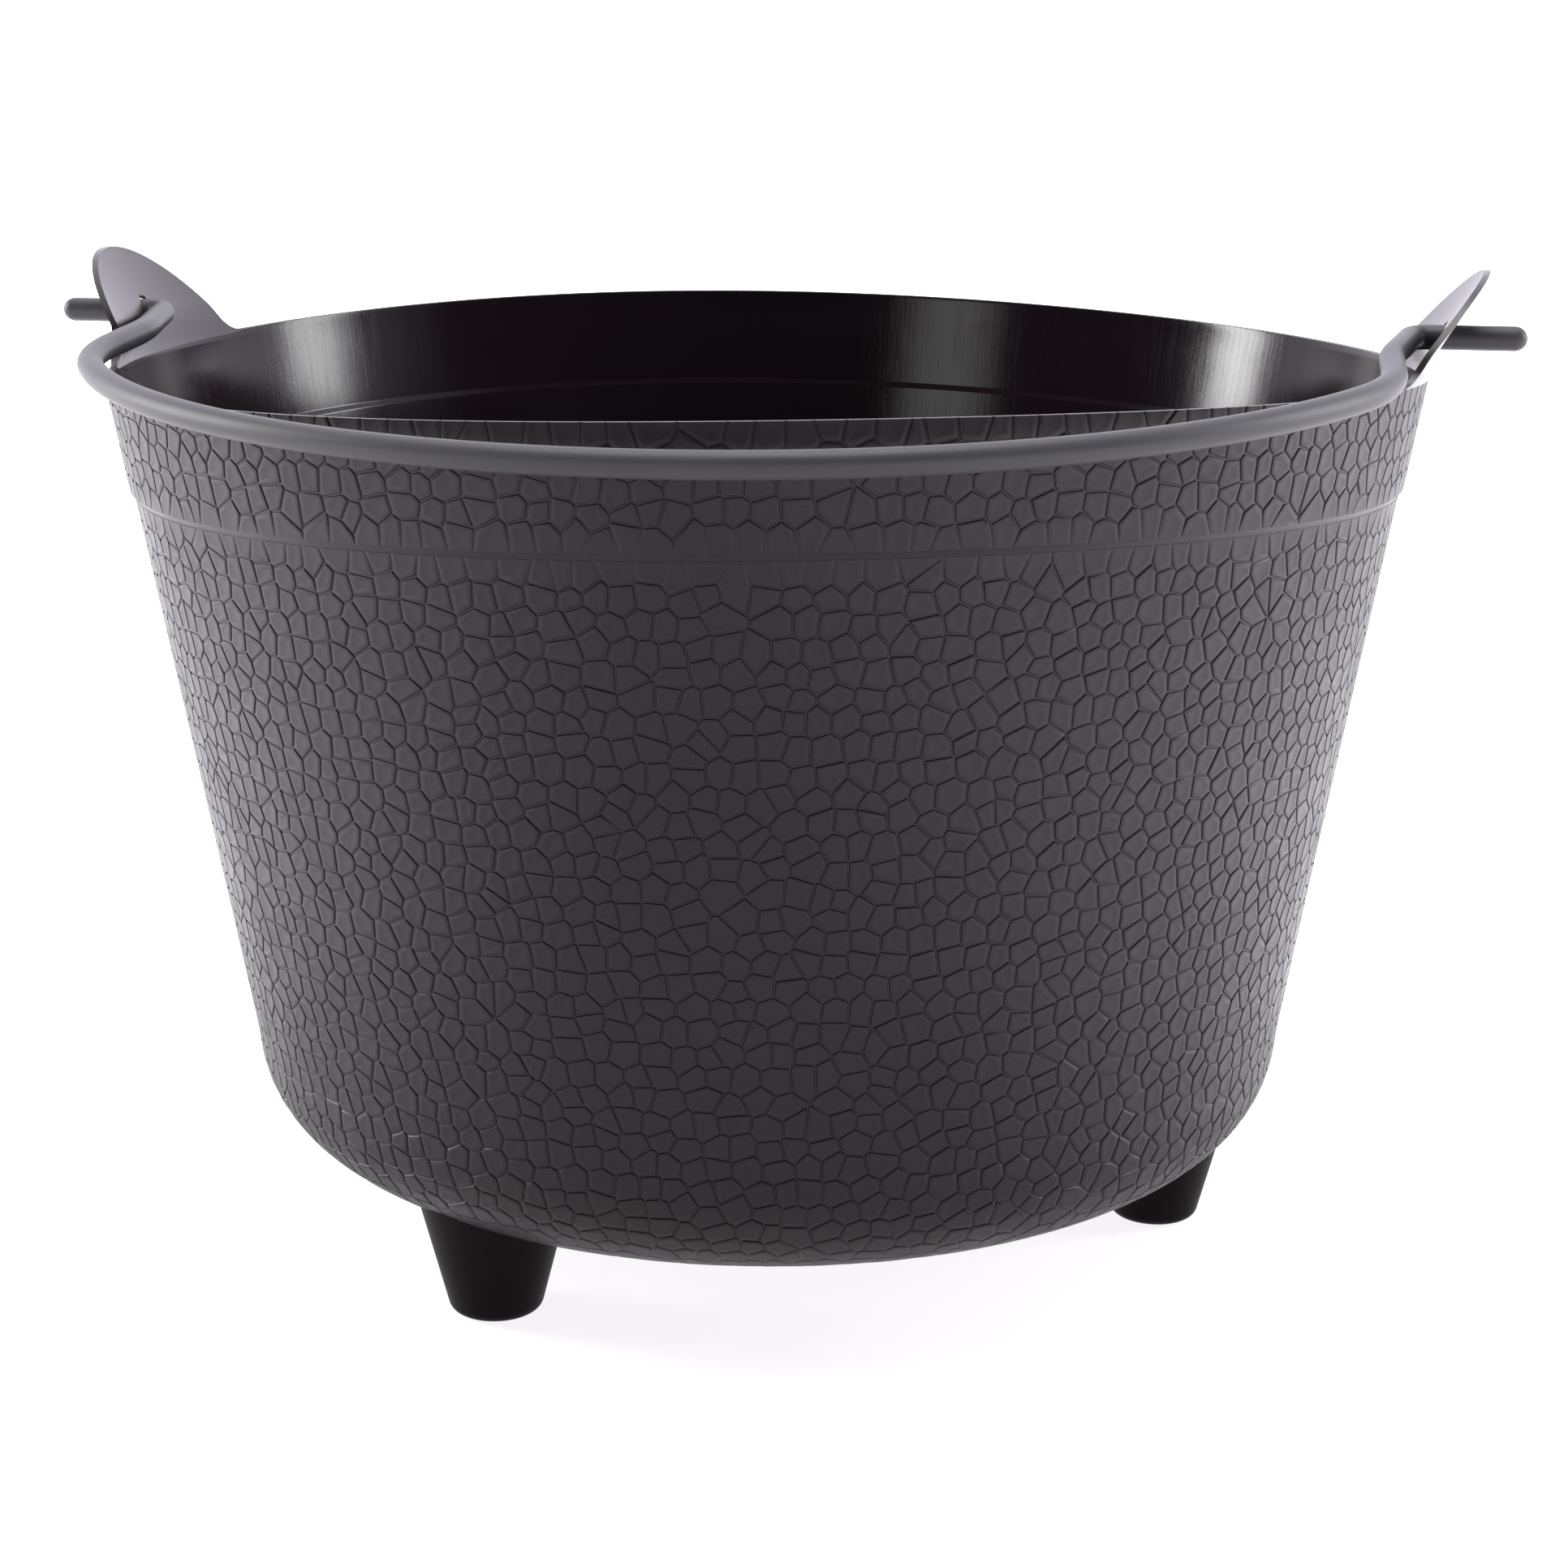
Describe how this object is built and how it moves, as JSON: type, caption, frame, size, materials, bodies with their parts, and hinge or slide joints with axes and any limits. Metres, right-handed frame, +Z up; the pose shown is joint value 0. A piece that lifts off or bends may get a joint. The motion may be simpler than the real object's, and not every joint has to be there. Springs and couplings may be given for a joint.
{
  "type": "florist bucket",
  "caption": "Round tapered plastic bucket with an outward-leaning ear on each side, a thin bail handle that swings over the rim, and short conical feet under a rounded base.",
  "frame": {"origin": "on the ground plane under the centre of the bucket, where the feet stand", "axes": "+Z up, the ears and the handle's hinge axis along X, and the handle rests at the front, towards -Y"},
  "size_m": [0.29, 0.2603, 0.1924],
  "materials": {
    "bucket_plastic": "black moulded polypropylene: hammered pad texture outside, smooth and glossy inside, smooth satin feet",
    "handle_plastic": "black moulded plastic bar, satin, with a fine parting line"
  },
  "bodies": {
    "bucket": {"bucket_wall": "bucket_plastic", "bucket_floor": "bucket_plastic", "ear_left": "bucket_plastic", "ear_right": "bucket_plastic", "foot_right": "bucket_plastic", "foot_front_left": "bucket_plastic", "foot_rear_left": "bucket_plastic"},
    "handle": {"bail_handle": "handle_plastic"}
  },
  "joints": [
    {"name": "handle_swing", "type": "hinge", "parent": "bucket", "child": "handle", "pos_m": [0, 0, 0.1797], "axis": [-1, 0, 0], "range_deg": [0, 188]}
  ]
}
